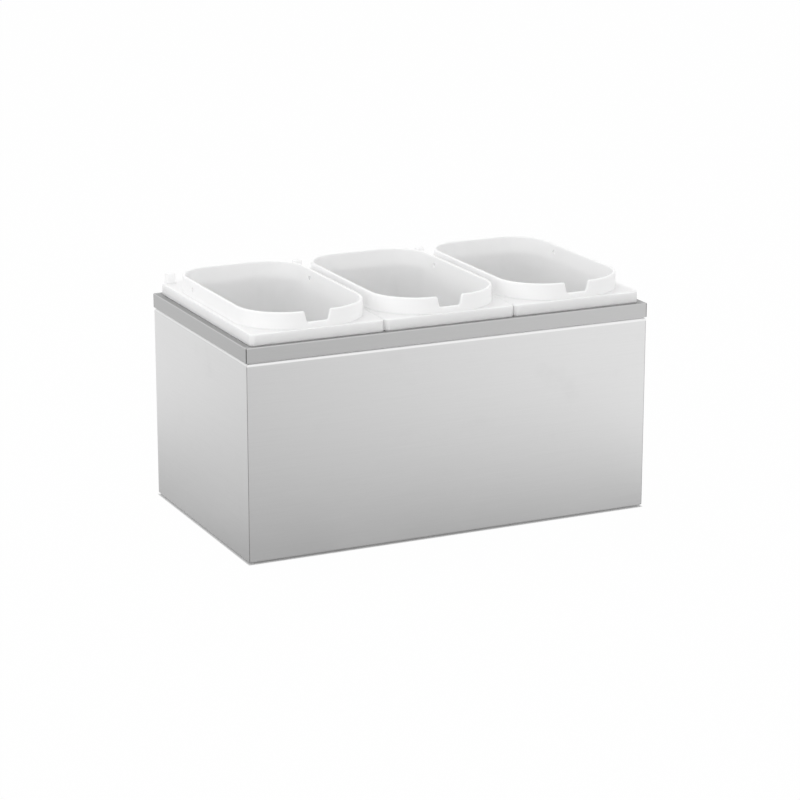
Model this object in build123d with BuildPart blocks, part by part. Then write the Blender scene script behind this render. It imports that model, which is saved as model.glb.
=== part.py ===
from build123d import *

import os
from math import radians, tan

# Countertop sauce dispenser: a folded stainless steel housing that holds three white lift-out tubs.
# Millimetres. The origin is on the table under the middle of the housing, +X runs along the row of
# tubs, the front faces -Y and +Z is up.

os.makedirs("parts", exist_ok=True)

# Housing
housing_width = 485.0        # over the rim, along X
housing_depth = 280.0        # over the rim, along Y
rim_height = 240.0           # table to the top of the rim
floor_gap = 2.0              # table to the lower edge of the panels
mitre_gap = 0.2              # hairline between two mitred ends

# Rim, a channel that opens inwards and carries the tubs
rim_sheet = 1.0
rim_band = 17.0              # height of the band that shows
rim_shelf = 14.0             # width of its top
rim_proud = 0.5              # how far it stands out past the panels
rim_top_bend = 1.5           # outer bend radii
rim_low_bend = 1.1
shelf_step = 2.0             # the lower flange is this much narrower than the top

# Panels
panel_sheet = 1.0
panel_top_bend = 4.0
panel_low_bend = 1.5
panel_low_return = 8.0       # width of the fold along the lower edge

# Rails under the seams between the tubs
rail_sheet = 1.0
rail_bend = 1.5
rail_clearance = 2.0         # rail to the tub on each side of it
rail_end_gap = 1.0

# Base plate, a shallow tray turned upside down
base_sheet = 1.2
base_lift = 11.0             # table to the underside of the plate
base_bend = 1.8
base_edge_gap = 0.1          # past the inside of the panels' lower bends

# Angles that join the panels in the corners
angle_sheet = 1.2
angle_leg = 20.0
angle_bend = 1.8
angle_end_gap = 0.5

# Blind rivets between the rim and the panels
rivet_radius = 1.6
rivet_fit = 0.05
rivet_head_radius = 3.2
rivet_head_height = 1.0
rivet_tail_radius = 2.4
rivet_tail_height = 2.2
rivet_end_margin = 42.0      # from a corner to the first rivet along the front or back
rivet_side_margin = 50.0     # the same along a short side
long_side_rivet_count = 5    # along the front and the back
short_side_rivet_count = 3   # along each short side

# Feet and what fastens them
foot_inset = 30.0            # from the housing's faces to a foot's centre
foot_top_radius = 12.0
foot_low_radius = 10.0
foot_edge_round = 1.0
foot_recess_radius = 6.2
foot_recess_depth = 4.6
screw_radius = 2.0
screw_head_radius = 3.9
screw_head_height = 2.4
screw_clearance = 0.25       # radial, in the foot, the washer and the plate
screw_past_nut = 1.5
thread_fit = 0.05
nut_half_width = 3.5         # centre to a flat
nut_height = 3.2
washer_radius = 5.0
washer_sheet = 1.0

# Tubs
tub_count = 3
tub_gap = 0.2                # between neighbouring flanges
side_margin = 7.5            # rim that shows beside the outer tubs
front_margin = 5.6           # rim that shows in front of the tubs and behind them
flange_height = 12.5         # rim to the top of the flange
flange_wall = 3.0
flange_front_corner = 6.0
flange_back_corner = 4.0
flange_edge_round = 1.0
collar_height = 31.2         # rim to the top of the collar
collar_wall = 3.5
collar_side_inset = 5.8      # flange edge to the collar
collar_front_inset = 2.4
collar_back_inset = 18.3
collar_front_corner = 56.0
collar_back_corner = 44.0
collar_lip_round = 1.4
body_clearance = 1.3         # body to the rim's inner edge
body_back_step = 2.0         # the body's back is this far in from the collar's
body_front_corner = 51.0
body_back_corner = 43.0
body_wall = 3.0
body_draft = 3.0             # degrees
body_floor = 3.5
body_floor_gap = 22.8        # base plate to the underside of the tubs
neck_gap = 0.5               # the body's straight draft starts this far above the rim
floor_round = 12.0           # inside radius of the floor's edge

# Spoon notch in the front of each collar
notch_top_width = 30.0
notch_low_width = 24.2
notch_depth = 12.2
notch_round = 2.5

# Hinge lugs on the back of each flange, and the lid's pivot holes in the collar's sides
lug_width = 11.5
lug_depth = 9.0
lug_height = 12.0
lug_side_inset = 3.4         # flange edge to the lug
lug_back_inset = 0.8
lug_draft = 3.0              # degrees
lug_corner = 2.0
lug_top_round = 1.0
pivot_radius = 2.5
pivot_behind_centre = 50.0
pivot_below_top = 10.2

# Heights and places worked out from the sizes above
rim_low = rim_height - rim_band
rim_low_shelf = rim_shelf - shelf_step
base_top = base_lift + base_sheet
panel_inset = rim_proud
inner_half_width = housing_width / 2 - panel_inset - panel_sheet
inner_half_depth = housing_depth / 2 - panel_inset - panel_sheet
rivet_line = (rim_proud + panel_top_bend + rim_low_shelf) / 2
rim_inner_half_width = housing_width / 2 - rim_shelf
rim_inner_half_depth = housing_depth / 2 - rim_shelf

tubs_width = housing_width - 2 * side_margin
flange_width = (tubs_width - (tub_count - 1) * tub_gap) / tub_count
flange_depth = housing_depth - 2 * front_margin
tub_pitch = flange_width + tub_gap
first_tub_x = -tub_pitch * (tub_count - 1) / 2
flange_top = rim_height + flange_height
collar_top = rim_height + collar_height
collar_half_width = flange_width / 2 - collar_side_inset
collar_front = -flange_depth / 2 + collar_front_inset
collar_back = flange_depth / 2 - collar_back_inset
body_half_width = rim_inner_half_width + first_tub_x - body_clearance
body_front = -rim_inner_half_depth + body_clearance
body_back = collar_back - body_back_step
neck_low = rim_height + neck_gap
tub_underside = base_top + body_floor_gap
rail_width = tub_pitch - 2 * body_half_width - 2 * rail_clearance

FRONT, RIGHT, BACK, LEFT = -90.0, 0.0, 90.0, 180.0


def save(piece, name):
    """Label a finished piece and write its file."""
    piece.part.label = name
    export_step(piece.part, f"parts/{name}.step")


def outward(side):
    """Direction out of one side of the housing."""
    return Vector(1, 0, 0).rotate(Axis.Z, side)


def along(side):
    """Direction along one side, anticlockwise from above."""
    return Vector(0, 1, 0).rotate(Axis.Z, side)


def is_long(side):
    """True for the front and the back."""
    return side in (FRONT, BACK)


def reach(side, inset):
    """Distance from the origin to a face that lies inset from the rim's."""
    return (housing_depth if is_long(side) else housing_width) / 2 - inset


def run(side, inset):
    """Length of a side between its corners."""
    return (housing_width if is_long(side) else housing_depth) - 2 * inset


# A folded strip is a sheet bent to an open section, run along one side and mitred at both ends.
# The points of its section are on the middle of the sheet: distance in from the face, and height.
def folded_strip(side, inset, sheet, points, radii):
    start = outward(side) * reach(side, inset) - along(side) * run(side, inset) / 2
    section = Plane(origin=start, x_dir=-outward(side), z_dir=along(side))
    with BuildPart() as strip:
        with BuildSketch(section):
            with BuildLine() as fold:
                FilletPolyline(*points, radius=radii)
            trace(fold.line, line_width=sheet)
        extrude(amount=run(side, inset))
        for end in (1, -1):
            corner = outward(side) * reach(side, inset) + along(side) * end * run(side, inset) / 2
            normal = (along(side) * end - outward(side)).normalized()
            cut = Plane(origin=corner - normal * mitre_gap / 2, z_dir=normal)
            split(bisect_by=cut, keep=Keep.BOTTOM)
    return strip


def rivet_points(side, height):
    """Places of the rivets along one side, at one height."""
    count = long_side_rivet_count if is_long(side) else short_side_rivet_count
    margin = rivet_end_margin if is_long(side) else rivet_side_margin
    spacing = (run(side, 0) - 2 * margin) / (count - 1)
    middle = outward(side) * (reach(side, 0) - rivet_line) + Vector(0, 0, height)
    return [middle + along(side) * spacing * (i - (count - 1) / 2) for i in range(count)]


# Panels: each side of the housing, folded in along the top and the lower edge
def panel(side):
    half = panel_sheet / 2
    top_return = rim_low_shelf - panel_inset
    points = [
        (top_return, rim_low - half),
        (half, rim_low - half),
        (half, floor_gap + half),
        (panel_low_return, floor_gap + half),
    ]
    radii = [panel_top_bend - half, panel_low_bend - half]
    sheet = folded_strip(side, panel_inset, panel_sheet, points, radii)
    with BuildPart() as piece:
        add(sheet.part)
        with Locations(*rivet_points(side, rim_low)):
            Hole(radius=rivet_radius + rivet_fit, depth=panel_sheet)
    return piece


# Rim: one channel along each side
def rim(side):
    half = rim_sheet / 2
    points = [
        (rim_shelf, rim_height - half),
        (half, rim_height - half),
        (half, rim_low + half),
        (rim_low_shelf, rim_low + half),
    ]
    radii = [rim_top_bend - half, rim_low_bend - half]
    sheet = folded_strip(side, 0, rim_sheet, points, radii)
    with BuildPart() as piece:
        add(sheet.part)
        with Locations(*rivet_points(side, rim_low + rim_sheet)):
            Hole(radius=rivet_radius + rivet_fit, depth=rim_sheet)
    return piece


for side, place in ((FRONT, "front"), (BACK, "back"), (LEFT, "left"), (RIGHT, "right")):
    save(panel(side), f"{place}_panel")
    save(rim(side), f"rim_{place}")


# Blind rivets, one group
with BuildPart() as rim_rivets:
    for side in (FRONT, BACK, LEFT, RIGHT):
        seat = rim_low + rim_sheet
        under = rim_low - panel_sheet
        with Locations(*rivet_points(side, seat)):
            Cylinder(rivet_head_radius, rivet_head_height, align=(Align.CENTER, Align.CENTER, Align.MIN))
            Cylinder(rivet_radius, rim_sheet + panel_sheet, align=(Align.CENTER, Align.CENTER, Align.MAX))
        with Locations(*rivet_points(side, under)):
            Cylinder(rivet_tail_radius, rivet_tail_height, align=(Align.CENTER, Align.CENTER, Align.MAX))
save(rim_rivets, "rim_rivets")


# Divider rails: channels turned downwards, held between the flanges of the front and back rims
def divider_rail(x):
    half = rail_sheet / 2
    length = housing_depth - 2 * (rim_sheet + rail_end_gap)
    top = rim_height - rim_sheet - half
    foot = rim_low + rim_sheet
    edge = rail_width / 2 - half
    points = [(-edge, foot), (-edge, top), (edge, top), (edge, foot)]
    section = Plane(origin=(x, length / 2, 0), x_dir=(1, 0, 0), z_dir=(0, -1, 0))
    with BuildPart() as piece:
        with BuildSketch(section):
            with BuildLine() as fold:
                FilletPolyline(*points, radius=rail_bend - half)
            trace(fold.line, line_width=rail_sheet)
        extrude(amount=length)
    return piece


save(divider_rail(-tub_pitch / 2), "divider_rail_left")
save(divider_rail(tub_pitch / 2), "divider_rail_right")


# Corner angles: stand on the base plate inside each corner
def corner_angle(x_sign, y_sign):
    half = angle_sheet / 2
    x = x_sign * (inner_half_width - half)
    y = y_sign * (inner_half_depth - half)
    x_end = x_sign * (inner_half_width - angle_leg)
    y_end = y_sign * (inner_half_depth - angle_leg)
    top = rim_low - panel_top_bend - angle_end_gap
    with BuildPart() as piece:
        with BuildSketch(Plane.XY.offset(base_top)):
            with BuildLine() as fold:
                FilletPolyline((x_end, y), (x, y), (x, y_end), radius=angle_bend - half)
            trace(fold.line, line_width=angle_sheet)
        extrude(amount=top - base_top)
    return piece


for y_sign, depth_name in ((-1, "front"), (1, "back")):
    for x_sign, width_name in ((-1, "left"), (1, "right")):
        save(corner_angle(x_sign, y_sign), f"corner_angle_{depth_name}_{width_name}")


foot_places = [
    (x_sign * (housing_width / 2 - foot_inset), y_sign * (housing_depth / 2 - foot_inset))
    for y_sign in (-1, 1)
    for x_sign in (-1, 1)
]


# Base plate: its edge is folded down onto the panels' lower folds
with BuildPart() as base_plate:
    edge = panel_low_bend - panel_sheet + base_edge_gap
    foot = floor_gap + panel_sheet
    with BuildSketch(Plane.XY.offset(foot)):
        Rectangle(2 * (inner_half_width - edge), 2 * (inner_half_depth - edge))
    extrude(amount=base_top - foot)
    fillet(base_plate.edges().filter_by(Axis.Z), base_bend)
    fillet(base_plate.faces().sort_by(Axis.Z)[-1].edges(), base_bend)
    offset(amount=-base_sheet, openings=base_plate.faces().sort_by(Axis.Z)[0])
    with Locations(*[(x, y, base_top) for x, y in foot_places]):
        Hole(radius=screw_radius + screw_clearance, depth=base_sheet)
save(base_plate, "base_plate")


def upright(place):
    """Vertical plane through the centre of a foot, for a profile of radius and height."""
    return Plane(origin=(*place, 0), x_dir=(1, 0, 0), z_dir=(0, -1, 0))


# Feet: rubber, with a recess for the washer and the screw's head
def foot(place):
    bore = screw_radius + screw_clearance
    with BuildPart() as piece:
        with BuildSketch(upright(place)):
            with BuildLine():
                Polyline(
                    (foot_recess_radius, 0),
                    (foot_low_radius, 0),
                    (foot_top_radius, base_lift),
                    (bore, base_lift),
                    (bore, foot_recess_depth),
                    (foot_recess_radius, foot_recess_depth),
                    close=True,
                )
            make_face()
        revolve(axis=Axis((*place, 0), (0, 0, 1)))
        rim_edge = piece.edges().filter_by(GeomType.CIRCLE).group_by(Axis.Z)[0].sort_by(SortBy.RADIUS)[-1]
        fillet(rim_edge, foot_edge_round)
    return piece


foot_names = ("foot_front_left", "foot_front_right", "foot_back_left", "foot_back_right")
for place, name in zip(foot_places, foot_names):
    save(foot(place), name)


# Foot screws, washers and nuts, one group of each
washer_low = foot_recess_depth - washer_sheet
with BuildPart() as foot_screws:
    head_low = washer_low - screw_head_height
    tip = base_top + nut_height + screw_past_nut
    with Locations(*[(x, y, head_low) for x, y in foot_places]):
        Cylinder(screw_head_radius, screw_head_height, align=(Align.CENTER, Align.CENTER, Align.MIN))
        Cylinder(screw_radius, tip - head_low, align=(Align.CENTER, Align.CENTER, Align.MIN))
save(foot_screws, "foot_screws")

with BuildPart() as foot_washers:
    with BuildSketch(Plane.XY.offset(washer_low)):
        with Locations(*foot_places):
            Circle(washer_radius)
            Circle(screw_radius + screw_clearance, mode=Mode.SUBTRACT)
    extrude(amount=washer_sheet)
save(foot_washers, "foot_washers")

with BuildPart() as foot_nuts:
    with BuildSketch(Plane.XY.offset(base_top)):
        with Locations(*foot_places):
            RegularPolygon(nut_half_width, 6, major_radius=False)
            Circle(screw_radius + thread_fit, mode=Mode.SUBTRACT)
    extrude(amount=nut_height)
save(foot_nuts, "foot_nuts")


# Outline of a tub's collar or body at one height, inset all round by a wall or a draft
def tub_outline(x, height, half_width, front, back, front_corner, back_corner, inset):
    left, right = -half_width + inset, half_width - inset
    near, far = front + inset, back - inset
    points = [(left, near), (right, near), (right, far), (left, far)]
    corners = [front_corner - inset, front_corner - inset, back_corner - inset, back_corner - inset]
    with BuildSketch(Plane((x, 0, height))) as outline:
        with BuildLine():
            FilletPolyline(*points, radius=corners, close=True)
        make_face()
    return outline.sketch


def collar_outline(x, height, inset):
    """The collar's outline, which is the larger one."""
    sizes = (collar_half_width, collar_front, collar_back, collar_front_corner, collar_back_corner)
    return tub_outline(x, height, *sizes, inset)


def body_outline(x, height, inset):
    """The outline of the body that hangs in the housing."""
    sizes = (body_half_width, body_front, body_back, body_front_corner, body_back_corner)
    return tub_outline(x, height, *sizes, inset)


def flange_outline(x, height, inset):
    """The outline of the flange and its skirt."""
    sizes = (flange_width / 2, -flange_depth / 2, flange_depth / 2, flange_front_corner, flange_back_corner)
    return tub_outline(x, height, *sizes, inset)


# Inside of a tub: straight in the collar, leaning in at the neck and drafted down to a rounded floor
def tub_cavity(x):
    floor = tub_underside + body_floor
    shrink = (neck_low - floor) * tan(radians(body_draft))
    with BuildPart() as cavity:
        loft([body_outline(x, floor, body_wall + shrink), body_outline(x, neck_low, body_wall)], ruled=True)
        fillet(cavity.faces().sort_by(Axis.Z)[0].edges(), floor_round)
        loft([body_outline(x, neck_low, body_wall), collar_outline(x, flange_top, collar_wall)], ruled=True)
        extrude(collar_outline(x, flange_top, collar_wall), amount=collar_height)
    return cavity


# Spoon notch: a tapered slot through the front of the collar, flared at the top
def notch_cutter(x):
    low = collar_top - notch_depth
    wide = notch_top_width / 2 + 2 * notch_round
    above = collar_top + notch_round
    before_wall = Plane(origin=(x, collar_front - collar_wall, 0), x_dir=(1, 0, 0), z_dir=(0, -1, 0))
    with BuildPart() as cutter:
        with BuildSketch(before_wall) as slot:
            with BuildLine():
                Polyline(
                    (-wide, above),
                    (-wide, collar_top),
                    (-notch_top_width / 2, collar_top),
                    (-notch_low_width / 2, low),
                    (notch_low_width / 2, low),
                    (notch_top_width / 2, collar_top),
                    (wide, collar_top),
                    (wide, above),
                    close=True,
                )
            make_face()
            inner = slot.vertices().filter_by(lambda v: abs(v.X) < wide - notch_round)
            fillet(inner, notch_round)
        extrude(amount=-3 * collar_wall)
    return cutter


# Tub: flange with a turned down skirt, raised collar, neck and body, lugs and pivot holes
def tub(x):
    shrink = (neck_low - tub_underside) * tan(radians(body_draft))
    skirt_top = flange_top - flange_wall
    lug_x = flange_width / 2 - lug_side_inset - lug_width / 2
    lug_y = flange_depth / 2 - lug_back_inset - lug_depth / 2
    cavity = tub_cavity(x)
    cutter = notch_cutter(x)
    with BuildPart() as piece:
        extrude(flange_outline(x, rim_height, 0), amount=flange_height)
        fillet(piece.faces().sort_by(Axis.Z)[-1].edges(), flange_edge_round)
        skirt_inside = flange_outline(x, rim_height, flange_wall)
        extrude(skirt_inside, amount=flange_height - flange_wall, mode=Mode.SUBTRACT)
        with BuildSketch(Plane((x, 0, flange_top))):
            with Locations((-lug_x, lug_y), (lug_x, lug_y)):
                RectangleRounded(lug_width, lug_depth, lug_corner)
        extrude(amount=lug_height, taper=lug_draft)
        fillet(piece.faces().group_by(Axis.Z)[-1].edges(), lug_top_round)
        extrude(collar_outline(x, skirt_top, 0), amount=collar_top - skirt_top)
        fillet(piece.faces().sort_by(Axis.Z)[-1].edges(), collar_lip_round)
        loft([body_outline(x, neck_low, 0), collar_outline(x, flange_top, 0)], ruled=True)
        loft([body_outline(x, tub_underside, shrink), body_outline(x, neck_low, 0)], ruled=True)
        fillet(piece.faces().sort_by(Axis.Z)[0].edges(), floor_round)
        add(cavity.part, mode=Mode.SUBTRACT)
        add(cutter.part, mode=Mode.SUBTRACT)
        pivot = Plane(origin=(x, pivot_behind_centre, collar_top - pivot_below_top), z_dir=(1, 0, 0))
        with BuildSketch(pivot):
            Circle(pivot_radius)
        extrude(amount=flange_width / 2, both=True, mode=Mode.SUBTRACT)
    return piece


tub_names = ("sauce_tub_left", "sauce_tub_centre", "sauce_tub_right")
for i, name in enumerate(tub_names):
    save(tub(first_tub_x + i * tub_pitch), name)
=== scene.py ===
"""Looks of a countertop sauce dispenser: a brushed steel housing that holds three white plastic tubs.

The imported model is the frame. Housing, feet and fasteners keep its solids and get their finishes here.
Each tub is modelled again with its rounded lip, neck and lugs, in the place of its plain solid.
"""

from __future__ import annotations

import logging
import math
from collections.abc import Callable, Mapping, Sequence
from dataclasses import dataclass, field, replace
from enum import Enum
from typing import Any, Union

import bmesh
import bpy
from mathutils import Matrix, Vector

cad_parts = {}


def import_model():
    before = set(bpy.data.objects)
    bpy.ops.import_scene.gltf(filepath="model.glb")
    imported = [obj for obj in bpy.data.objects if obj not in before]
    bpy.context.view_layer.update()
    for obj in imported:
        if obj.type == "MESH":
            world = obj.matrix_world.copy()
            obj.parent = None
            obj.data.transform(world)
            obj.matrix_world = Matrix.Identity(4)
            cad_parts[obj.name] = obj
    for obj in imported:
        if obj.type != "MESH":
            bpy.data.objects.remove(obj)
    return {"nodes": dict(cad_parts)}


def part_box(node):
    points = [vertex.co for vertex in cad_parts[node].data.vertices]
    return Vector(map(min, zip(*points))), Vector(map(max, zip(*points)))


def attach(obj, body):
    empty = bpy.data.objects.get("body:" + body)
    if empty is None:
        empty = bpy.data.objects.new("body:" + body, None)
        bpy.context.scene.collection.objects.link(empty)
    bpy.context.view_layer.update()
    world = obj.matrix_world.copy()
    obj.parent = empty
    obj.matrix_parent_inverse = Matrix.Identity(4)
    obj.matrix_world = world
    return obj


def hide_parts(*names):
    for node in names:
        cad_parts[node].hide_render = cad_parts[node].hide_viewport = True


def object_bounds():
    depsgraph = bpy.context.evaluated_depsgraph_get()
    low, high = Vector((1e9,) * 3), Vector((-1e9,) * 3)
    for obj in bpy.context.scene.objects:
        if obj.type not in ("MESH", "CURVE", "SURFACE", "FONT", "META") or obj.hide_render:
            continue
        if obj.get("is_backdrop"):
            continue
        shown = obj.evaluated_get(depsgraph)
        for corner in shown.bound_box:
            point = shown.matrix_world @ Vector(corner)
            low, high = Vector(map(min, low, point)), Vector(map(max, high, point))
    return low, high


LOG = logging.getLogger("sauce_dispenser")

MM = 0.001

Edges = list[bmesh.types.BMEdge]
Point = tuple[float, float, float]
Pair = tuple[float, float]


class Run(Enum):
    """Direction of the brush lines on a piece of steel."""

    ALONG_X = "x"
    ALONG_Y = "y"


SIDES = {"front": Run.ALONG_X, "back": Run.ALONG_X, "left": Run.ALONG_Y, "right": Run.ALONG_Y}


# Shader maths

class Term:
    """A number, vector or colour that varies over a surface, with its arithmetic written in Python."""

    noise_middle: float = 0.5

    def __init__(self, graph: Graph, socket: bpy.types.NodeSocket) -> None:
        """Wrap one output socket of a graph."""
        self.graph = graph
        self.socket = socket

    def _math(self, operation: str, *values: Level) -> Term:
        """Add one Math node."""
        return self.graph.node("ShaderNodeMath", {"operation": operation}, dict(enumerate(values)))

    def __add__(self, other: Level) -> Term:
        """Sum."""
        return self._math("ADD", self, other)

    __radd__ = __add__

    def __sub__(self, other: Level) -> Term:
        """Difference."""
        return self._math("SUBTRACT", self, other)

    def __rsub__(self, other: Level) -> Term:
        """Difference from a plain number."""
        return self._math("SUBTRACT", other, self)

    def __mul__(self, other: Level) -> Term:
        """Product."""
        return self._math("MULTIPLY", self, other)

    __rmul__ = __mul__

    def __abs__(self) -> Term:
        """Size without its sign."""
        return self._math("ABSOLUTE", self)

    def at_least(self, least: float) -> Term:
        """The larger of this and a number."""
        return self._math("MAXIMUM", self, least)

    def root(self) -> Term:
        """Square root."""
        return self._math("SQRT", self)

    def swing(self, amount: float) -> Term:
        """This noise moved to lie round 0, times an amount."""
        return amount * (self - self.noise_middle)

    def above(self, low: float, high: float) -> Term:
        """Mask that rises smoothly from 0 to 1.

        Args:
            low: Value at which the mask is still 0.
            high: Value from which the mask is 1.

        Returns:
            The mask.
        """
        settings = {"interpolation_type": "SMOOTHSTEP"}
        inputs = {"Value": self, "From Min": low, "From Max": high}
        return self.graph.node("ShaderNodeMapRange", settings, inputs)

    def below(self, low: float, high: float) -> Term:
        """Mask that falls smoothly from 1 to 0 between two values."""
        return 1 - self.above(low, high)


Level = Union[float, Term]


@dataclass(frozen=True)
class Grain:
    """One layer of noise: its frequency, number of finer layers, their strength, and its stretch."""

    scale: float
    detail: float
    roughness: float = 0.5
    stretch: Union[Point, None] = None


class Graph:
    """A node tree of a material or of the world."""

    def __init__(self, tree: bpy.types.NodeTree) -> None:
        """Take over an existing tree and empty it."""
        self.tree = tree
        self.tree.nodes.clear()

    def node(
        self,
        kind: str,
        settings: Mapping[str, Any],
        inputs: Mapping[Union[int, str], Any],
        output: Union[int, str] = 0,
    ) -> Term:
        """Add a node.

        Args:
            kind: The node's type.
            settings: Its properties, such as a Math node's operation.
            inputs: Values and links of its sockets.
            output: The socket that the result reads.

        Returns:
            That output.
        """
        made = self.tree.nodes.new(kind)
        for name, value in settings.items():
            setattr(made, name, value)
        for name, value in inputs.items():
            if isinstance(value, Term):
                self.tree.links.new(value.socket, made.inputs[name])
            else:
                made.inputs[name].default_value = value
        return Term(self, made.outputs[output])

    def close(self, surface: Term, output: str) -> None:
        """Join a surface to an output node of the given type."""
        made = self.tree.nodes.new(output)
        self.tree.links.new(surface.socket, made.inputs["Surface"])

    def ray(self, kind: str) -> Term:
        """1 for one kind of ray, such as Is Camera Ray, and 0 for the others."""
        return self.node("ShaderNodeLightPath", {}, {}, kind)


class Paint(Graph):
    """The node tree of one new material."""

    def __init__(self, name: str) -> None:
        """Start an empty material.

        Args:
            name: The material's name.
        """
        self.material = bpy.data.materials.new(name)
        self.material.use_nodes = True
        super().__init__(self.material.node_tree)
        self.place = self.node("ShaderNodeTexCoord", {}, {}, "Object")

    def axis(self, name: str) -> Term:
        """One object coordinate, in metres: X, Y or Z."""
        return self.node("ShaderNodeSeparateXYZ", {}, {"Vector": self.place}, name)

    def noise(self, grain: Grain) -> Term:
        """Noise between 0 and 1.

        Args:
            grain: Its frequency, detail and stretch.

        Returns:
            The noise.
        """
        at = self.place
        if grain.stretch:
            at = self.node("ShaderNodeMapping", {}, {"Vector": self.place, "Scale": grain.stretch})
        inputs = {"Scale": grain.scale, "Detail": grain.detail, "Roughness": grain.roughness}
        return self.node("ShaderNodeTexNoise", {}, {"Vector": at, **inputs}, "Fac")

    def blend(self, amount: Level, first: Any, second: Any) -> Term:
        """Mix two colours by a mask. The node's sockets 6 and 7, and its output 2, are its colours."""
        settings = {"data_type": "RGBA", "clamp_factor": True}
        return self.node("ShaderNodeMix", settings, {0: amount, 6: first, 7: second}, 2)

    def toned(self, amount: Term, level: float, spread: Pair) -> Term:
        """Grey that a mask moves between a dark and a light share of one level."""
        dark, light = spread
        return self.blend(amount, grey(level * dark), grey(level * light))

    def bumped(
        self, height: Term, depth: float, strength: float, over: Union[Term, None] = None
    ) -> Term:
        """Normal that follows a height.

        Args:
            height: Height between 0 and 1.
            depth: Metres from the lowest to the highest point.
            strength: Share of the effect.
            over: A finer normal to add it to, or None.

        Returns:
            The normal.
        """
        inputs = {"Strength": strength, "Distance": depth, "Height": height}
        if over:
            inputs["Normal"] = over
        return self.node("ShaderNodeBump", {}, inputs)

    def covered(self, surface: Term) -> bpy.types.Material:
        """Close the material with a surface."""
        self.close(surface, "ShaderNodeOutputMaterial")
        return self.material

    def principled(self, inputs: Mapping[str, Any]) -> bpy.types.Material:
        """Close the material with a Principled shader, given its sockets' values and links."""
        return self.covered(self.node("ShaderNodeBsdfPrincipled", {}, inputs))

    def metal(self, colour: Term, roughness: Term, normal: Term) -> bpy.types.Material:
        """Close the material with a bare metal."""
        return self.principled(
            {"Base Color": colour, "Metallic": 1.0, "Roughness": roughness, "Normal": normal}
        )


def grey(level: float) -> tuple[float, float, float, float]:
    """Neutral colour of one linear level."""
    return (level, level, level, 1.0)


# Finishes

@dataclass(frozen=True)
class BrushedSteel:
    """Stainless sheet with a fine linear brush, as on the panels and the rim.

    A narrow strip beside the seams at its ends is a dark joint line on the long sides and on the rim,
    and a painted highlight of the corner bend on the short sides. The fold along its top has a painted
    highlight.
    """

    name: str
    level: float
    run: Run
    end: float
    # End seam strip: a dark joint line on the long sides and the rim, a painted highlight of the bend on
    # the short sides.
    joint_and_highlight_level: float
    fold_highlight_level: float
    roughness: float = 0.34
    seam_width: float = 1.3 * MM
    seam_full: float = 0.6
    # Where the painted highlight along the top fold starts, and how far it blends in.
    fold_low: float = 218.6 * MM
    fold_blend: float = 1.0 * MM
    fine_line: Pair = (28 * MM, 0.35 * MM)
    coarse_line: Pair = (90 * MM, 1.6 * MM)
    line_grain: Grain = Grain(1.0, 3.0, 0.6)
    line_depth: float = 0.02 * MM
    line_strength: float = 0.35
    fine_share: float = 0.55
    tone_spread: Pair = (0.95, 1.05)
    tone_gloss: float = 0.10
    cloud: Grain = Grain(9.0, 2.0)
    cloud_gloss: float = 0.06
    smudge: Grain = Grain(26.0, 4.0, 0.55)
    smudge_range: Pair = (0.56, 0.74)
    smudge_share: float = 0.10
    smudge_tone: float = 0.86
    smudge_gloss: float = 0.05
    wave: Grain = Grain(5.0, 1.0)
    wave_depth: float = 0.25 * MM
    wave_strength: float = 0.6

    def lines(self, graph: Paint, size: Pair) -> Term:
        """Noise drawn out along the brush.

        Args:
            graph: The material's graph.
            size: Length and width of a line, in metres.

        Returns:
            Noise between 0 and 1.
        """
        along, across = (1 / measure for measure in size)
        stretch = (along, across, across) if self.run is Run.ALONG_X else (across, along, across)
        return graph.noise(replace(self.line_grain, stretch=stretch))

    def brush(self, graph: Paint) -> tuple[Term, Term]:
        """Draw the brush.

        Args:
            graph: The material's graph.

        Returns:
            The fine lines, and the tone that the fine and the coarse lines give together.
        """
        fine = self.lines(graph, self.fine_line)
        coarse = self.lines(graph, self.coarse_line)
        return fine, self.fine_share * fine + (1 - self.fine_share) * coarse

    def off_middle(self, graph: Paint) -> Term:
        """Distance from the middle of the sheet along its brush."""
        return abs(graph.axis("X" if self.run is Run.ALONG_X else "Y"))

    def beside_seam(self, graph: Paint) -> Term:
        """Mask of the narrow strip along the vertical seams at both ends of the sheet."""
        width = self.seam_width
        return self.off_middle(graph).above(self.end - width, self.end - self.seam_full * width)

    def material(self) -> bpy.types.Material:
        """Build the finish.

        Returns:
            The material.
        """
        graph = Paint(self.name)
        fine, tone = self.brush(graph)
        cloud = graph.noise(self.cloud)
        smudge = graph.noise(self.smudge).above(*self.smudge_range)
        # Mask of the painted highlight on the top fold.
        fold_highlight_mask = graph.axis("Z").above(self.fold_low, self.fold_low + self.fold_blend)
        colour = graph.toned(tone, self.level, self.tone_spread)
        colour = graph.blend(self.smudge_share * smudge, colour, grey(self.level * self.smudge_tone))
        # Beside the end seams: a dark joint line, and on the short sides a painted highlight of the
        # corner bend.
        colour = graph.blend(self.beside_seam(graph), colour, grey(self.joint_and_highlight_level))
        # Painted highlight along the top fold.
        colour = graph.blend(fold_highlight_mask, colour, grey(self.fold_highlight_level))
        roughness = self.roughness + tone.swing(self.tone_gloss) + cloud.swing(self.cloud_gloss)
        roughness = roughness + self.smudge_gloss * smudge
        lines = graph.bumped(fine, self.line_depth, self.line_strength)
        wave = graph.bumped(graph.noise(self.wave), self.wave_depth, self.wave_strength, over=lines)
        return graph.metal(colour, roughness, wave)


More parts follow.
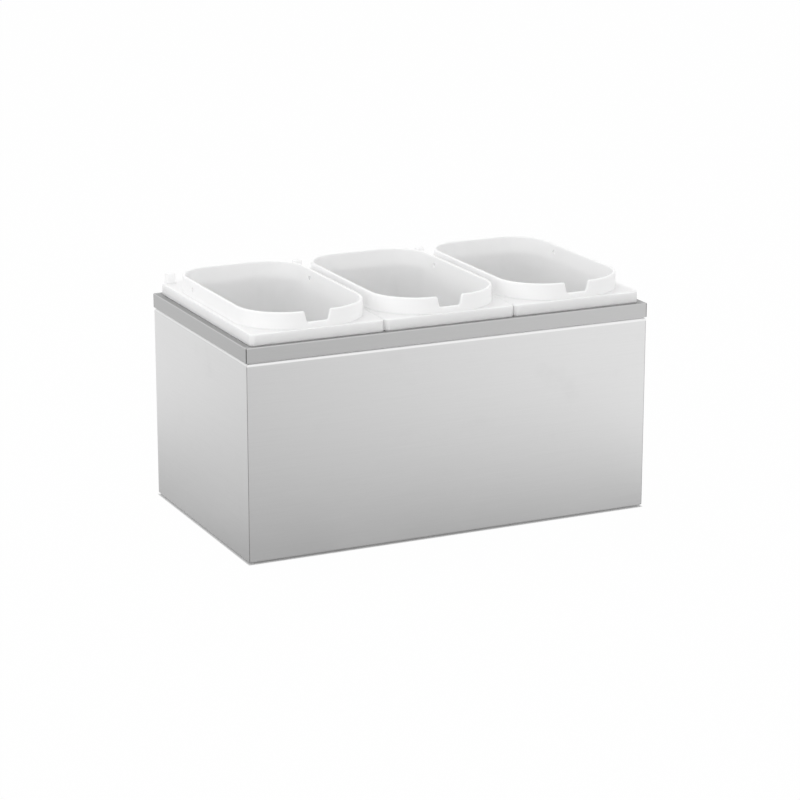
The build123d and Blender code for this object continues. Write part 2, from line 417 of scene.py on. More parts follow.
@dataclass(frozen=True)
class RimSteel(BrushedSteel):
    """Darker brushed steel of the rim: painted shade on its flat top, painted highlight on its lower
    edge.
    """

    roughness: float = 0.5
    seam_width: float = 1.0 * MM
    fine_line: Pair = (30 * MM, 0.3 * MM)
    coarse_line: Pair = (120 * MM, 1.2 * MM)
    fine_share: float = 0.6
    tone_spread: Pair = (0.93, 1.07)
    tone_gloss: float = 0.12
    # Painted shade on the flat top, set a little lighter where the top reaches out beyond the tubs.
    top_shade_level: float = 0.35
    top_end_shade_level: float = 0.45
    top_spread: Pair = (0.9, 1.1)
    top_height: float = 240 * MM
    top_blend: Pair = (0.5 * MM, 0.15 * MM)
    tub_end: Pair = (8 * MM, 5 * MM)
    # Painted highlight along the lower edge.
    low_height: float = 223 * MM
    low_blend: Pair = (0.5 * MM, 1.1 * MM)

    def material(self) -> bpy.types.Material:
        """Build the finish.

        Returns:
            The material.
        """
        graph = Paint(self.name)
        fine, tone = self.brush(graph)
        height = graph.axis("Z")
        # Mask of the flat top, which is in painted shade.
        top_shade_mask = height.above(*(self.top_height - depth for depth in self.top_blend))
        # Mask of the painted highlight along the lower edge.
        low_edge_highlight_mask = height.below(*(self.low_height + rise for rise in self.low_blend))
        # The top beyond the tubs has less painted shade.
        less_shade_beyond_tubs = self.off_middle(graph).above(*(self.end - inset for inset in self.tub_end))
        band = graph.toned(tone, self.level, self.tone_spread)
        band = graph.blend(self.beside_seam(graph), band, grey(self.joint_and_highlight_level))
        # The flat top in painted shade.
        top = graph.toned(tone, self.top_shade_level, self.top_spread)
        top = graph.blend(less_shade_beyond_tubs, top, grey(self.top_end_shade_level))
        colour = graph.blend(top_shade_mask, band, top)
        # Painted highlight along the lower edge, at the level of the panel's fold highlight.
        colour = graph.blend(low_edge_highlight_mask, colour, grey(self.fold_highlight_level))
        roughness = self.roughness + tone.swing(self.tone_gloss)
        return graph.metal(colour, roughness, graph.bumped(fine, self.line_depth, self.line_strength))


@dataclass(frozen=True)
class MillSteel:
    """Unbrushed sheet with the faint mottle of the mill, as on the pieces inside."""

    name: str
    level: float = 0.5
    roughness: float = 0.42
    mottle: Grain = Grain(60.0, 5.0, 0.6)
    mottle_spread: Pair = (0.85, 1.12)
    mottle_gloss: float = 0.16
    grain: Grain = Grain(900.0, 2.0)
    grain_gloss: float = 0.08
    grain_depth: float = 0.01 * MM
    grain_strength: float = 0.5

    def material(self) -> bpy.types.Material:
        """Build the finish.

        Returns:
            The material.
        """
        graph = Paint(self.name)
        mottle = graph.noise(self.mottle)
        grain = graph.noise(self.grain)
        colour = graph.toned(mottle, self.level, self.mottle_spread)
        roughness = self.roughness + mottle.swing(self.mottle_gloss) + grain.swing(self.grain_gloss)
        return graph.metal(colour, roughness, graph.bumped(grain, self.grain_depth, self.grain_strength))


@dataclass(frozen=True)
class MouldedPlastic:
    """White food-grade plastic with a soft moulded skin."""

    name: str
    level: float = 0.97
    roughness: float = 0.4
    glow: float = 1.0
    glow_depth: float = 4 * MM
    bend_of_light: float = 1.50
    cloud: Grain = Grain(14.0, 3.0)
    cloud_spread: Pair = (0.985, 1.01)
    skin: Grain = Grain(1400.0, 2.0, 0.6)
    skin_gloss: float = 0.05
    skin_depth: float = 0.02 * MM
    skin_strength: float = 0.4
    flow: Grain = Grain(1.0, 2.0, 0.5, (30.0, 30.0, 110.0))
    flow_gloss: float = 0.10
    scuff: Grain = Grain(1.0, 3.0, 0.7, (60.0, 900.0, 400.0))
    scuff_range: Pair = (0.66, 0.78)
    scuff_share: float = 0.12
    scuff_tone: float = 0.93
    scuff_gloss: float = 0.10

    def material(self) -> bpy.types.Material:
        """Build the finish.

        Returns:
            The material.
        """
        graph = Paint(self.name)
        skin = graph.noise(self.skin)
        scuff = graph.noise(self.scuff).above(*self.scuff_range)
        colour = graph.toned(graph.noise(self.cloud), self.level, self.cloud_spread)
        colour = graph.blend(self.scuff_share * scuff, colour, grey(self.level * self.scuff_tone))
        roughness = self.roughness + graph.noise(self.flow).swing(self.flow_gloss)
        roughness = roughness + skin.swing(self.skin_gloss) + self.scuff_gloss * scuff
        return graph.principled(
            {
                "Base Color": colour,
                "Roughness": roughness,
                "Normal": graph.bumped(skin, self.skin_depth, self.skin_strength),
                "IOR": self.bend_of_light,
                "Subsurface Weight": self.glow,
                "Subsurface Radius": (1.0, 1.0, 1.0),
                "Subsurface Scale": self.glow_depth,
            }
        )


@dataclass(frozen=True)
class FootRubber:
    """Black rubber with a fine matt grain and a little dust."""

    name: str
    level: float = 0.02
    roughness: float = 0.72
    grain: Grain = Grain(1500.0, 3.0, 0.6)
    grain_gloss: float = 0.14
    grain_depth: float = 0.04 * MM
    grain_strength: float = 0.7
    dust: Grain = Grain(120.0, 4.0, 0.6)
    dust_range: Pair = (0.5, 0.8)
    dust_share: float = 0.35
    dust_level: float = 0.11
    dust_gloss: float = 0.10

    def material(self) -> bpy.types.Material:
        """Build the finish.

        Returns:
            The material.
        """
        graph = Paint(self.name)
        grain = graph.noise(self.grain)
        dust = graph.noise(self.dust).above(*self.dust_range)
        colour = graph.blend(self.dust_share * dust, grey(self.level), grey(self.dust_level))
        roughness = self.roughness + grain.swing(self.grain_gloss) + self.dust_gloss * dust
        normal = graph.bumped(grain, self.grain_depth, self.grain_strength)
        return graph.principled({"Base Color": colour, "Roughness": roughness, "Normal": normal})


@dataclass(frozen=True)
class PlatedMetal:
    """Bright fastener metal with fine turning marks and small spots."""

    name: str
    tint: tuple[float, float, float, float] = (0.62, 0.63, 0.64, 1.0)
    roughness: float = 0.3
    marks: Grain = Grain(1.0, 2.0, 0.6, (400.0, 400.0, 5000.0))
    marks_gloss: float = 0.2
    marks_depth: float = 0.015 * MM
    marks_strength: float = 0.6
    spots: Grain = Grain(700.0, 4.0, 0.65)
    spots_range: Pair = (0.6, 0.75)
    spots_share: float = 0.4
    spots_level: float = 0.3
    spots_gloss: float = 0.2

    def material(self) -> bpy.types.Material:
        """Build the finish.

        Returns:
            The material.
        """
        graph = Paint(self.name)
        marks = graph.noise(self.marks)
        spots = graph.noise(self.spots).above(*self.spots_range)
        colour = graph.blend(self.spots_share * spots, self.tint, grey(self.spots_level))
        roughness = self.roughness + marks.swing(self.marks_gloss) + self.spots_gloss * spots
        return graph.metal(colour, roughness, graph.bumped(marks, self.marks_depth, self.marks_strength))


def dress(piece: bpy.types.Object, material: bpy.types.Material) -> None:
    """Give a piece one material."""
    piece.data.materials.clear()
    piece.data.materials.append(material)


# Mesh work

class Mould:
    """A closed mesh in the making, in millimetres."""

    weld_distance: float = 0.001
    crease_angle: float = math.radians(40)

    def __init__(self) -> None:
        """Start with nothing."""
        self.bm = bmesh.new()

    def loop(self, corners: Sequence[Point], offsets: Sequence[float], segments: Sequence[int]) -> Edges:
        """Draw a closed line and round its corners.

        Args:
            corners: Its corners in order.
            offsets: Where each corner's arc starts, as a distance from the corner.
            segments: Steps in each arc.

        Returns:
            The line's edges.
        """
        before = set(self.bm.edges)
        verts = [self.bm.verts.new(corner) for corner in corners]
        for pair in zip(verts, verts[1:] + verts[:1]):
            self.bm.edges.new(pair)
        for vert, offset, steps in zip(verts, offsets, segments):
            bmesh.ops.bevel(
                self.bm,
                geom=[vert],
                affect="VERTICES",
                offset=offset,
                segments=steps,
                profile=0.5,
                material=-1,
            )
        return [edge for edge in self.bm.edges if edge not in before]

    def flatten(self, loop: Edges, height: float) -> Edges:
        """Move a loop to one height.

        Args:
            loop: Its edges.
            height: The height.

        Returns:
            The same edges.
        """
        for edge in loop:
            for vert in edge.verts:
                vert.co.z = height
        return loop

    def carry(self, loop: Edges, height: float) -> Edges:
        """Draw a wall straight from a loop to another height.

        Args:
            loop: The edges that the wall starts from.
            height: Where it ends.

        Returns:
            The edges at its end.
        """
        made = bmesh.ops.extrude_edge_only(self.bm, edges=loop)["geom"]
        verts = {part for part in made if isinstance(part, bmesh.types.BMVert)}
        end = [
            part for part in made if isinstance(part, bmesh.types.BMEdge) and set(part.verts) <= verts
        ]
        return self.flatten(end, height)

    def bridge(self, first: Edges, second: Edges) -> None:
        """Join two loops with a wall."""
        bmesh.ops.bridge_loops(self.bm, edges=first + second)

    def rings(self, start: Edges, draw: Callable[[float, float], Edges], steps: Sequence[Pair]) -> Edges:
        """Carry a surface on from a loop through rings of the same outline.

        Args:
            start: The loop to start from.
            draw: Draws a ring from its inset and its height.
            steps: Inset and height of each ring.

        Returns:
            The last ring.
        """
        for inset, height in steps:
            ring = draw(inset, height)
            self.bridge(start, ring)
            start = ring
        return start

    def fill(self, *loops: Edges) -> None:
        """Fill a flat region whose edge and holes are loops."""
        edges = [edge for loop in loops for edge in loop]
        bmesh.ops.triangle_fill(self.bm, use_beauty=True, use_dissolve=False, edges=edges)

    def cap(self, loop: Edges) -> None:
        """Close one flat loop with a single face."""
        bmesh.ops.contextual_create(self.bm, geom=loop)

    def settle(self) -> None:
        """Merge doubles and point every face outwards."""
        bmesh.ops.remove_doubles(self.bm, verts=self.bm.verts, dist=self.weld_distance)
        bmesh.ops.recalc_face_normals(self.bm, faces=self.bm.faces)
        self.bm.normal_update()

    def soften(self, chosen: Callable[[bmesh.types.BMEdge], bool], radius: float, segments: int) -> None:
        """Round the edges that a test picks.

        Args:
            chosen: True for the edges to round.
            radius: Distance from the edge to where the rounding starts.
            segments: Steps in the rounding.
        """
        edges = [edge for edge in self.bm.edges if edge.is_manifold and chosen(edge)]
        bmesh.ops.bevel(
            self.bm,
            geom=edges,
            affect="EDGES",
            offset=radius,
            segments=segments,
            profile=0.5,
            material=-1,
            loop_slide=False,
        )
        self.bm.normal_update()

    def finish(self, name: str, shift: Point) -> bpy.types.Object:
        """Turn the mesh into an object at the origin, in metres.

        Args:
            name: The object's name.
            shift: How far the mesh moves first, in millimetres.

        Returns:
            The object.
        """
        bmesh.ops.translate(self.bm, vec=Vector(shift), verts=self.bm.verts)
        bmesh.ops.scale(self.bm, vec=Vector((MM, MM, MM)), verts=self.bm.verts)
        mesh = bpy.data.meshes.new(name)
        self.bm.to_mesh(mesh)
        self.bm.free()
        mesh.shade_smooth()
        mesh.set_sharp_from_angle(angle=self.crease_angle)
        piece = bpy.data.objects.new(name, mesh)
        bpy.context.scene.collection.objects.link(piece)
        return piece


# Steps in the arcs of a wall's and of the flange's outline, from its front left corner round
WALL_STEPS = (18, 4, 5, 5, 4, 18, 16, 16)
FLANGE_STEPS = (8, 8, 6, 6)

# Steps in a tub's other rounds
FLOOR_STEPS = 7
NECK_STEPS = 3
SMALL_STEPS = 4
HOLE_STEPS = 24

# What counts as level, round a pivot hole and before the lugs, in millimetres
SAME_HEIGHT = 0.01
ROUND_HOLE = 0.1
BEFORE_LUGS = 1.0

# What counts as a square edge, in radians, and as a face that looks sideways, as a share
SQUARE_EDGE = 1.1
LOOKS_SIDEWAYS = 0.9


def quarter(radius: float) -> list[Pair]:
    """Points of the arc between two square faces, as distances from the first and from the second."""
    turns = [math.pi / 2 * step / SMALL_STEPS for step in range(1, SMALL_STEPS + 1)]
    return [(radius * (1 - math.sin(turn)), radius * (1 - math.cos(turn))) for turn in turns]


def level_box(left: float, front: float, right: float, back: float, height: float) -> list[Point]:
    """Corners of a level rectangle, from the front left one round to the back left one."""
    return [(left, front, height), (right, front, height), (right, back, height), (left, back, height)]


@dataclass(frozen=True)
class Wall:
    """Where a wall's outline lies inside the flange's edges, and the radii of its corners."""

    side: float
    front: float
    back: float
    front_corner: float
    back_corner: float


@dataclass
class SauceTub:
    """A white tub: flange with a skirt, collar with a spoon notch, neck, barrel, lugs and pivot holes.

    Sizes are millimetres. The width, depth and height come from the tub's solid in the frame.
    """

    node: str
    body: str
    finish: bpy.types.Material
    flange_height: float = 12.5
    flange_wall: float = 3.0
    flange_front_corner: float = 6.0
    flange_back_corner: float = 4.0
    flange_round: float = 0.7
    collar: Wall = Wall(side=5.8, front=2.4, back=18.3, front_corner=56.0, back_corner=44.0)
    collar_height: float = 18.7
    collar_wall: float = 3.5
    collar_foot_round: float = 1.0
    lip_round: float = 1.4
    barrel: Wall = Wall(side=7.8, front=9.7, back=20.3, front_corner=51.0, back_corner=43.0)
    barrel_wall: float = 3.0
    barrel_draft: float = math.radians(3)
    barrel_floor: float = 3.5
    neck_drop: float = 12.0
    neck_round: float = 3.0
    floor_round: float = 12.0
    notch_top_width: float = 30.0
    notch_low_width: float = 24.2
    notch_depth: float = 12.2
    notch_round: float = 2.5
    lug_width: float = 11.5
    lug_depth: float = 9.0
    lug_height: float = 12.0
    lug_side_inset: float = 3.4
    lug_back_inset: float = 0.8
    lug_corner: float = 2.0
    lug_draft: float = math.radians(3)
    lug_top_round: float = 1.0
    pivot_radius: float = 2.5
    pivot_behind_centre: float = 50.0
    pivot_below_top: float = 10.2
    low: Vector = field(init=False)
    high: Vector = field(init=False)

    def __post_init__(self) -> None:
        """Read the tub's box from the frame."""
        low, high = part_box(self.node)
        self.low = low / MM
        self.high = high / MM

    @property
    def middle(self) -> float:
        """X of the tub's centre."""
        return (self.low.x + self.high.x) / 2

    @property
    def half_width(self) -> float:
        """Half the flange's width."""
        return (self.high.x - self.low.x) / 2

    @property
    def flange_top(self) -> float:
        """Height of the flange's top."""
        return self.high.z - self.collar_height

    @property
    def neck_low(self) -> float:
        """Height at which the neck ends and the straight draft of the barrel starts."""
        return self.flange_top - self.neck_drop

    @property
    def floor(self) -> float:
        """Height of the inside's floor."""
        return self.low.z + self.barrel_floor

    @property
    def pivot_height(self) -> float:
        """Height of the pivot holes."""
        return self.high.z - self.pivot_below_top

    @property
    def notch_floor(self) -> float:
        """Height of the notch's floor."""
        return self.high.z - self.notch_depth

    @property
    def notch_turn(self) -> float:
        """Angle between the lip and a side of the notch."""
        return math.atan2(self.notch_depth, (self.notch_top_width - self.notch_low_width) / 2)

    def outline(self, mould: Mould, wall: Wall, inset: float) -> Edges:
        """Draw the outline of the collar or of the barrel, with the notch in its front.

        Args:
            mould: The mesh in the making.
            wall: Which of the two.
            inset: Distance in from its outer face.

        Returns:
            The outline's edges.
        """
        half = self.half_width - wall.side - inset
        front = self.low.y + wall.front + inset
        back = self.high.y - wall.back - inset
        top = self.high.z
        wide = self.notch_top_width / 2
        narrow = self.notch_low_width / 2
        corners = [
            (-half, front, top),
            (-wide, front, top),
            (-narrow, front, self.notch_floor),
            (narrow, front, self.notch_floor),
            (wide, front, top),
            (half, front, top),
            (half, back, top),
            (-half, back, top),
        ]
        near = wall.front_corner - inset
        far = wall.back_corner - inset
        notch = self.notch_round * math.tan(self.notch_turn / 2)
        return mould.loop(corners, [near, notch, notch, notch, notch, near, far, far], WALL_STEPS)

    def level_outline(self, mould: Mould, wall: Wall, inset: float, height: float) -> Edges:
        """Draw the outline of the collar or of the barrel at one height, as below the notch."""
        return mould.flatten(self.outline(mould, wall, inset), height)

    def rectangle(self, mould: Mould, inset: float, height: float) -> Edges:
        """Draw the flange's outline.

        Args:
            mould: The mesh in the making.
            inset: Distance in from the skirt's outer face.
            height: Its height.

        Returns:
            The outline's edges.
        """
        half = self.half_width - inset
        corners = level_box(-half, self.low.y + inset, half, self.high.y - inset, height)
        near = self.flange_front_corner - inset
        far = self.flange_back_corner - inset
        return mould.loop(corners, [near, near, far, far], FLANGE_STEPS)

    def lug(self, mould: Mould, side: float) -> Edges:
        """Raise one lug from its outline on the flange.

        Args:
            mould: The mesh in the making.
            side: -1 for the left lug and 1 for the right.

        Returns:
            The outline's edges, for the flange's top to meet.
        """
        half = self.lug_width / 2
        deep = self.lug_depth / 2
        x = side * (self.half_width - self.lug_side_inset - half)
        y = self.high.y - self.lug_back_inset - deep
        corners = level_box(x - half, y - deep, x + half, y + deep, self.flange_top)
        foot = mould.loop(corners, [self.lug_corner] * len(corners), [SMALL_STEPS] * len(corners))
        top = mould.carry(foot, self.flange_top + self.lug_height)
        lean = self.lug_height * math.tan(self.lug_draft)
        shrink = Vector((1 - lean / half, 1 - lean / deep, 1))
        verts = list({vert for edge in top for vert in edge.verts})
        bmesh.ops.scale(mould.bm, vec=shrink, space=Matrix.Translation((-x, -y, 0)), verts=verts)
        mould.cap(top)
        return foot

    def pierce(self, mould: Mould, side: float) -> None:
        """Cut one pivot hole through a side wall of the collar.

        Args:
            mould: The mesh in the making.
            side: -1 for the left wall and 1 for the right.
        """
        z = self.pivot_height
        outer = side * (self.half_width - self.collar.side)
        rings = []
        for x in (outer, outer - side * self.collar_wall):
            wall = min(
                (face for face in mould.bm.faces if abs(face.normal.x) > LOOKS_SIDEWAYS),
                key=lambda face: (face.calc_center_median() - Vector((x, 0, z))).length,
            )
            rim = list(wall.edges)
            bmesh.ops.delete(mould.bm, geom=[wall], context="FACES_ONLY")
            centre = Matrix.Translation((x, self.pivot_behind_centre, z))
            made = bmesh.ops.create_circle(
                mould.bm,
                radius=self.pivot_radius,
                segments=HOLE_STEPS,
                matrix=centre @ Matrix.Rotation(math.pi / 2, 4, "Y"),
            )
            ring = list({edge for vert in made["verts"] for edge in vert.link_edges})
            mould.fill(rim, ring)
            rings.append(ring)
        mould.bridge(*rings)

    def raise_collar(self, mould: Mould) -> tuple[Edges, Edges]:
        """Draw the collar down from its lip.

        Args:
            mould: The mesh in the making.

        Returns:
            The outer loop that meets the flange's top, and the inner loop that the neck starts from.
        """
        top = self.flange_top
        collar = self.collar
        outer = self.outline(mould, collar, 0)
        inner = self.outline(mould, collar, self.collar_wall)
        mould.bridge(outer, inner)
        wall_low = mould.carry(outer, top + self.collar_foot_round)
        bend = [(-out, top + rise) for rise, out in quarter(self.collar_foot_round)]
        foot = mould.rings(wall_low, lambda inset, z: self.level_outline(mould, collar, inset, z), bend)
        return foot, mould.carry(inner, top)

    def line_inside(self, mould: Mould, shoulder: Edges) -> None:
        """Draw the inside from the collar's foot to the floor.

        Args:
            mould: The mesh in the making.
            shoulder: The inner loop at the collar's foot.
        """
        neck = self.level_outline(mould, self.barrel, self.barrel_wall, self.neck_low)
        mould.bridge(shoulder, neck)
        lean = (self.neck_low - self.floor) * math.tan(self.barrel_draft)
        inside = self.level_outline(mould, self.barrel, self.barrel_wall + lean, self.floor)
        mould.bridge(neck, inside)
        mould.cap(inside)

    def spread_flange(self, mould: Mould, foot: Edges) -> Edges:
        """Draw the flange with its lugs and its skirt.

        Args:
            mould: The mesh in the making.
            foot: The collar's foot.

        Returns:
            The inner loop of the skirt at the flange's underside.
        """
        top = self.flange_top
        skirt_low = top - self.flange_height
        flange = self.rectangle(mould, self.flange_round, top)
        lugs = [self.lug(mould, side) for side in (-1, 1)]
        mould.fill(flange, foot, *lugs)
        bend = [(inset, top - drop) for inset, drop in quarter(self.flange_round)]
        edge = mould.rings(flange, lambda inset, z: self.rectangle(mould, inset, z), bend)
        skirt = mould.carry(edge, skirt_low)
        inner_top = self.rectangle(mould, self.flange_wall, top - self.flange_wall)
        mould.bridge(skirt, mould.carry(inner_top, skirt_low))
        return inner_top

    def line_outside(self, mould: Mould, inner_top: Edges) -> None:
        """Draw the outside from the flange's underside to the tub's underside.

        Args:
            mould: The mesh in the making.
            inner_top: The inner loop of the skirt at the flange's underside.
        """
        under_flange = self.flange_top - self.flange_wall
        share = (under_flange - self.neck_low) / self.neck_drop
        spread = (self.barrel.side - self.collar.side) * share
        under = self.level_outline(mould, self.barrel, -spread, under_flange)
        mould.fill(inner_top, under)
        throat = self.level_outline(mould, self.barrel, 0, self.neck_low)
        mould.bridge(under, throat)
        lean = (self.neck_low - self.low.z) * math.tan(self.barrel_draft)
        underside = self.level_outline(mould, self.barrel, lean, self.low.z)
        mould.bridge(throat, underside)
        mould.cap(underside)

    def shell(self) -> Mould:
        """Build the tub's closed surface, with its rim and floor edges still sharp.

        Returns:
            The mesh in the making.
        """
        mould = Mould()
        foot, shoulder = self.raise_collar(mould)
        self.line_inside(mould, shoulder)
        inner_top = self.spread_flange(mould, foot)
        self.line_outside(mould, inner_top)
        mould.settle()
        for side in (-1, 1):
            self.pierce(mould, side)
        mould.settle()
        return mould

    def round_edges(self, mould: Mould) -> None:
        """Round the floor, the lip with its notch, the lugs' tops and the neck.

        Args:
            mould: The mesh in the making.
        """
        lug_top = self.flange_top + self.lug_height
        lug_line = self.high.y - self.lug_back_inset - self.lug_depth - BEFORE_LUGS
        pivot = Vector((0, self.pivot_behind_centre, self.pivot_height))

        def level(edge: bmesh.types.BMEdge, height: float) -> bool:
            """True if both ends lie at one height."""
            return all(abs(vert.co.z - height) < SAME_HEIGHT for vert in edge.verts)

        def square(edge: bmesh.types.BMEdge) -> bool:
            """True for a square or nearly square edge."""
            return abs(edge.calc_face_angle_signed()) > SQUARE_EDGE

        def on_lug(edge: bmesh.types.BMEdge) -> bool:
            """True on the lugs."""
            return min(vert.co.y for vert in edge.verts) > lug_line

        def on_pivot(edge: bmesh.types.BMEdge) -> bool:
            """True round a pivot hole."""
            reach = self.pivot_radius + ROUND_HOLE
            return all((Vector((0, *vert.co.yz)) - pivot).length < reach for vert in edge.verts)

        def on_lip(edge: bmesh.types.BMEdge) -> bool:
            """True on the lip and round the notch."""
            in_notch = min(vert.co.z for vert in edge.verts) > self.notch_floor - SAME_HEIGHT
            return in_notch and square(edge) and not on_lug(edge) and not on_pivot(edge)

        mould.soften(lambda e: level(e, self.floor) and square(e), self.floor_round, FLOOR_STEPS)
        mould.soften(lambda e: level(e, self.low.z) and square(e), self.floor_round, FLOOR_STEPS)
        mould.soften(on_lip, self.lip_round, SMALL_STEPS)
        mould.soften(
            lambda e: level(e, lug_top) and on_lug(e) and square(e), self.lug_top_round, SMALL_STEPS
        )
        mould.soften(lambda e: level(e, self.neck_low), self.neck_round, NECK_STEPS)

    def build(self) -> bpy.types.Object:
        """Build the tub and put it in the frame.

        Returns:
            The tub.
        """
        mould = self.shell()
        self.round_edges(mould)
        piece = mould.finish(self.node.replace("sauce_tub", "moulded_tub"), (self.middle, 0, 0))
        weighted = piece.modifiers.new("even_shading", "WEIGHTED_NORMAL")
        weighted.mode = "FACE_AREA"
        weighted.keep_sharp = True
        dress(piece, self.finish)
        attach(piece, self.body)
        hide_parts(self.node)
        return piece


@dataclass(frozen=True)
class SheetTone:
    """Grey levels of a panel: on its face, beside the seams at its ends, and on its top fold's painted
    highlight.
    """

    face: float
    # Strip beside the end seams: a dark joint line on the long sides, a painted highlight of the bend on
    # the short ones.
    seam: float
    fold: float


@dataclass
class Housing:
    """The folded steel housing with its rim, rails, corner angles, base plate and rivets."""

    nodes: Mapping[str, bpy.types.Object]
    half_width: float
    half_depth: float
    # Seam strips: dark joint lines on the long sides, painted highlights on the short ones; folds:
    # painted highlights.
    long_tone: SheetTone = SheetTone(face=0.79, seam=0.32, fold=0.9)
    short_tone: SheetTone = SheetTone(face=0.86, seam=1.0, fold=0.81)
    rim_level: float = 0.6
    rim_seam_level: float = 0.12
    rivet_tint: tuple[float, float, float, float] = (0.7, 0.7, 0.69, 1.0)

    def dress_sides(self) -> None:
        """Brush the panel and the rim of each side along their length."""
        for place, run in SIDES.items():
            end = self.half_width if run is Run.ALONG_X else self.half_depth
            tone = self.long_tone if run is Run.ALONG_X else self.short_tone
            panel = BrushedSteel(f"panel_steel_{place}", tone.face, run, end, tone.seam, tone.fold)
            dress(self.nodes[f"{place}_panel"], panel.material())
            seam = self.rim_seam_level
            # The rim's lower edge takes the panel's fold level as its painted highlight.
            rim = RimSteel(f"rim_steel_{place}", self.rim_level, run, end, seam, tone.fold)
            dress(self.nodes[f"rim_{place}"], rim.material())
            LOG.info("%s: panel and rim brushed along %s", place, run.value)

    def dress_inside(self) -> None:
        """Give the pieces inside their mill finish, and the rivets their aluminium."""
        steel = MillSteel("inner_steel").material()
        names = ["base_plate", "divider_rail_left", "divider_rail_right"]
        names += [f"corner_angle_{y}_{x}" for y in ("front", "back") for x in ("left", "right")]
        for name in names:
            dress(self.nodes[name], steel)
            LOG.info("%s: mill finish", name)
        dress(self.nodes["rim_rivets"], PlatedMetal("rivet_aluminium", self.rivet_tint).material())
        LOG.info("rim_rivets: aluminium")

    def build(self) -> None:
        """Dress the whole housing."""
        self.dress_sides()
        self.dress_inside()


@dataclass
class Feet:
    """Four rubber feet with the screws, washers and nuts that hold them."""

    nodes: Mapping[str, bpy.types.Object]

    def build(self) -> None:
        """Dress the feet and their fasteners."""
        rubber = FootRubber("foot_rubber").material()
        for y in ("front", "back"):
            for x in ("left", "right"):
                dress(self.nodes[f"foot_{y}_{x}"], rubber)
        zinc = PlatedMetal("fastener_zinc").material()
        for name in ("foot_screws", "foot_washers", "foot_nuts"):
            dress(self.nodes[name], zinc)
        LOG.info("feet and their fasteners dressed")


@dataclass(frozen=True)
class Lamp:
    """A square soft lamp that faces the object."""

    name: str
    azimuth: float
    elevation: float
    distance: float
    size: float
    power: float
    aim: Point = (0.0, 0.0, 0.2)

    def hang(self) -> None:
        """Hang the lamp round the point that it lights."""
        data = bpy.data.lights.new(self.name, "AREA")
        data.shape = "SQUARE"
        data.size = self.size
        data.energy = self.power
        lamp = bpy.data.objects.new(self.name, data)
        outwards = direction(self.azimuth, self.elevation)
        lamp.location = Vector(self.aim) + outwards * self.distance
        lamp.rotation_mode = "QUATERNION"
        lamp.rotation_quaternion = (-outwards).to_track_quat("-Z", "Y")
        bpy.context.scene.collection.objects.link(lamp)


def direction(azimuth: float, elevation: float) -> Vector:
    """Unit vector from the object to a place round it.

    Args:
        azimuth: Degrees round +Z, with 0 in front of the object and 90 at its right.
        elevation: Degrees above the floor.

    Returns:
        The vector.
    """
    turn = math.radians(azimuth)
    rise = math.radians(elevation)
    return Vector((math.sin(turn) * math.cos(rise), -math.cos(turn) * math.cos(rise), math.sin(rise)))


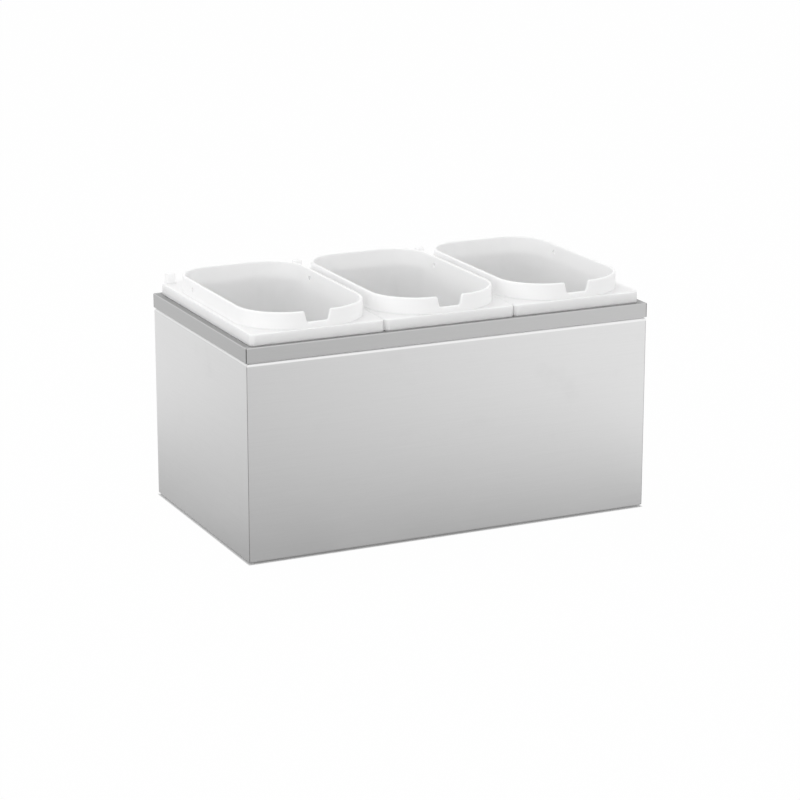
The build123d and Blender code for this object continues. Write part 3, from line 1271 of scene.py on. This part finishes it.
@dataclass
class Studio:
    """Pale floor, white surroundings, soft lamps and the camera.

    In reflections the floor carries a painted shadow near the housing and painted shade to its left.
    """

    half_width: float
    half_depth: float
    camera_azimuth: float = -25.191
    camera_elevation: float = 15.574
    camera_place: Point = (-1.27798, -2.72135, 0.95802)
    lens: float = 122.95
    sensor: float = 36.0
    floor_half: float = 8.0
    floor_level: float = 0.8
    floor_shown: float = 0.98
    contact_reach: float = 2 * MM
    side_stretch: float = 1.95
    # Reach, levels and slope of the painted shadow and shade that the floor shows in reflections.
    reflected_reach: float = 0.66
    reflected_core: float = 0.25
    painted_shadow_level: float = 0.385
    near_right_rise: float = 0.075
    near_front_rise: float = 0.04
    near_back_rise: float = 0.10
    front_blend: float = 10 * MM
    far_level: float = 0.594
    far_rise: float = 0.473
    far_range: Pair = (-0.9, 0.5)
    far_slope: float = 0.47
    sky_level: float = 0.85
    lamps: tuple[Lamp, ...] = (
        Lamp("lamp_left", azimuth=-85, elevation=18, distance=3.2, size=1.6, power=12.0),
        Lamp("lamp_front", azimuth=-15, elevation=12, distance=3.2, size=1.8, power=6.5),
        Lamp("lamp_above", azimuth=200, elevation=75, distance=2.6, size=1.6, power=9.0),
    )

    def place_camera(self) -> None:
        """Stand the camera where the photograph was taken from."""
        data = bpy.data.cameras.new("camera")
        data.lens = self.lens
        data.sensor_width = self.sensor
        camera = bpy.data.objects.new("camera", data)
        camera.location = self.camera_place
        camera.rotation_mode = "QUATERNION"
        ahead = -direction(self.camera_azimuth, self.camera_elevation)
        camera.rotation_quaternion = ahead.to_track_quat("-Z", "Y")
        bpy.context.scene.collection.objects.link(camera)
        bpy.context.scene.camera = camera

    def away(self, graph: Paint) -> Term:
        """Distance along the floor from the housing.

        Args:
            graph: The graph to add to.

        Returns:
            The distance in metres, 0 below the housing and stretched beside it.
        """
        beside = self.side_stretch * (abs(graph.axis("X")) - self.half_width).at_least(0.0)
        before = (abs(graph.axis("Y")) - self.half_depth).at_least(0.0)
        return (beside * beside + before * before).root()

    def reflected(self, graph: Paint) -> Term:
        """Level of the floor in reflections: a painted shadow near the housing, painted shade to its
        left.

        Args:
            graph: The graph to add to.

        Returns:
            The level.
        """
        reach = self.reflected_reach
        # Painted shadow near the housing, and painted shade that darkens the far floor towards the left.
        near = self.away(graph).below(-self.reflected_core * reach, reach)
        rightwards = (graph.axis("X") + self.far_slope * graph.axis("Y")).above(*self.far_range)
        right = graph.axis("X").above(0.0, self.half_width)
        before = graph.axis("Y").below(-self.half_depth - self.front_blend, -self.half_depth)
        behind = graph.axis("Y").above(-self.half_depth, self.half_depth)
        painted_shadow_level = self.painted_shadow_level + self.near_right_rise * right + self.near_front_rise * before
        painted_shadow_level = painted_shadow_level + self.near_back_rise * behind
        return (self.far_level + self.far_rise * rightwards) * (1.0 - near) + painted_shadow_level * near

    def floor_finish(self) -> bpy.types.Material:
        """Build a matt floor that shows white and keeps a little of the object's shadow.

        Returns:
            The material.
        """
        graph = Paint("floor_white")
        direct = graph.ray("Is Camera Ray")
        mirrored = graph.ray("Is Glossy Ray") + graph.ray("Is Transmission Ray")
        matt = graph.node("ShaderNodeBsdfDiffuse", {}, {"Color": grey(self.floor_level)})
        # In reflections the floor shows its painted shadow and shade.
        reflected = graph.blend(self.reflected(graph), grey(0.0), grey(1.0))
        shade = graph.blend(mirrored, grey(1.0), reflected)
        white = graph.node("ShaderNodeEmission", {}, {"Color": shade, "Strength": 1.0})
        shown = self.floor_shown * self.away(graph).above(0.0, self.contact_reach)
        share = shown * direct + mirrored
        return graph.covered(graph.node("ShaderNodeMixShader", {}, {0: share, 1: matt, 2: white}))

    def lay_floor(self) -> None:
        """Lay the floor that the object stands on."""
        bm = bmesh.new()
        bmesh.ops.create_grid(bm, x_segments=1, y_segments=1, size=self.floor_half)
        mesh = bpy.data.meshes.new("floor")
        bm.to_mesh(mesh)
        bm.free()
        floor = bpy.data.objects.new("floor", mesh)
        bpy.context.scene.collection.objects.link(floor)
        floor.data.materials.append(self.floor_finish())
        floor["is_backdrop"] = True

    def light_sky(self) -> None:
        """Light the world evenly, and show it white to the camera and in reflections."""
        world = bpy.data.worlds.new("surroundings")
        bpy.context.scene.world = world
        world.use_nodes = True
        graph = Graph(world.node_tree)
        seen = graph.ray("Is Camera Ray") + graph.ray("Is Glossy Ray")
        strength = self.sky_level + (1 - self.sky_level) * seen
        sky = graph.node("ShaderNodeBackground", {}, {"Color": grey(1.0), "Strength": strength})
        graph.close(sky, "ShaderNodeOutputWorld")

    def build(self) -> None:
        """Set up the whole studio."""
        self.place_camera()
        self.lay_floor()
        self.light_sky()
        for lamp in self.lamps:
            lamp.hang()
        bpy.context.scene.view_settings.view_transform = "Standard"


def main() -> None:
    """Load the frame, dress the housing and the feet, and build the tubs."""
    logging.basicConfig(level=logging.INFO, format="%(name)s: %(message)s")
    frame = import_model()
    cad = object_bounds()
    Studio(cad[1].x, cad[1].y).build()
    Housing(frame["nodes"], cad[1].x, cad[1].y).build()
    Feet(frame["nodes"]).build()
    plastic = MouldedPlastic("tub_plastic").material()
    for place in ("left", "centre", "right"):
        tub = SauceTub(f"sauce_tub_{place}", f"{place}_tub", plastic)
        piece = tub.build()
        LOG.info("%s: %d faces", piece.name, len(piece.data.polygons))


if __name__ == "__main__":
    main()
